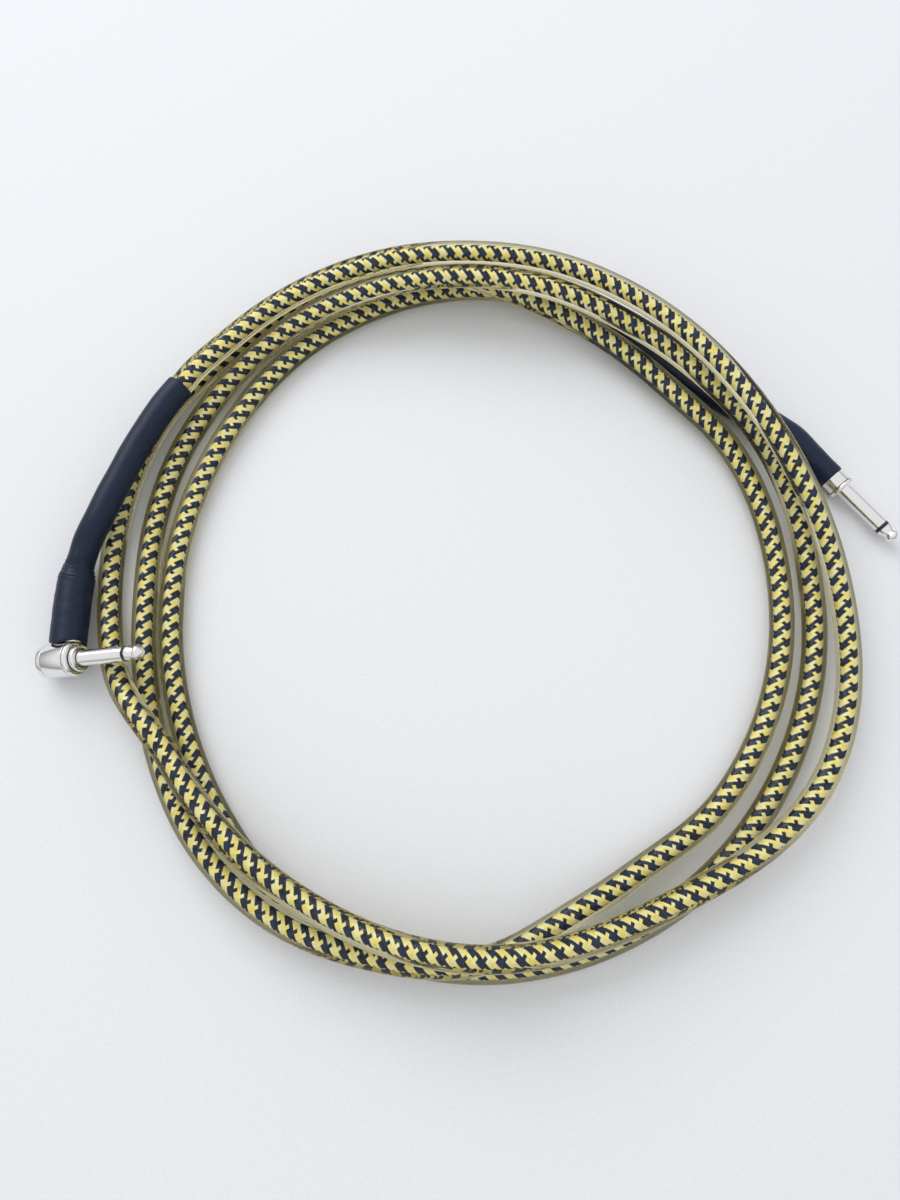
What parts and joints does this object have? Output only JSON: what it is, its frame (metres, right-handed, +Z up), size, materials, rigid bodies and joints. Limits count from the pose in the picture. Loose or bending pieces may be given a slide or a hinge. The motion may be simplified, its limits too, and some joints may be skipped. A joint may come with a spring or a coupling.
{
  "type": "instrument cable",
  "caption": "Coiled instrument cable with a clear jacket over woven braid, an angled phone plug at one end and a straight phone plug at the other, each in a black sleeve.",
  "frame": {"origin": "on the surface that the cable lies on, under the middle of the box round the two plugs and their sleeves", "axes": "+Z up from the surface, +X from the angle plug towards the straight plug, +Y towards the far side of the coil, where both plugs' leads join it"},
  "size_m": [0.355, 0.3064, 0.0338],
  "materials": {
    "cable_jacket": "clear yellowish jacket over a woven braid of yellow and black",
    "long_sleeve": "satin heat-shrink",
    "short_sleeve": "satin heat-shrink with fine wrinkles",
    "black_insulator": "satin",
    "clear_insulator": "satin",
    "fibre_washer": "matte",
    "lug_brass": "satin",
    "core_insulation": "satin",
    "copper": "satin",
    "solder": "satin",
    "nickel": "polished nickel"
  },
  "bodies": {
    "root": {"cable": "cable_jacket", "angle_cable_end": "cable_jacket", "straight_cable_end": "cable_jacket", "angle_tip": "nickel", "angle_tip_ring": "black_insulator", "angle_insulating_tube": "clear_insulator", "angle_shaft": "nickel", "angle_body": "nickel", "angle_cap": "nickel", "angle_washer": "fibre_washer", "angle_tip_lug": "lug_brass", "angle_ground_lug": "lug_brass", "angle_core": "core_insulation", "angle_shield_wire": "copper", "angle_solder": "solder", "angle_short_sleeve": "short_sleeve", "angle_long_sleeve": "long_sleeve", "straight_tip": "nickel", "straight_tip_ring": "black_insulator", "straight_insulating_tube": "clear_insulator", "straight_shaft": "nickel", "straight_barrel": "nickel", "straight_washer": "fibre_washer", "straight_tip_lug": "lug_brass", "straight_ground_lug": "lug_brass", "straight_core": "core_insulation", "straight_shield_wire": "copper", "straight_solder": "solder", "straight_short_sleeve": "short_sleeve", "straight_long_sleeve": "long_sleeve"}
  },
  "joints": []
}
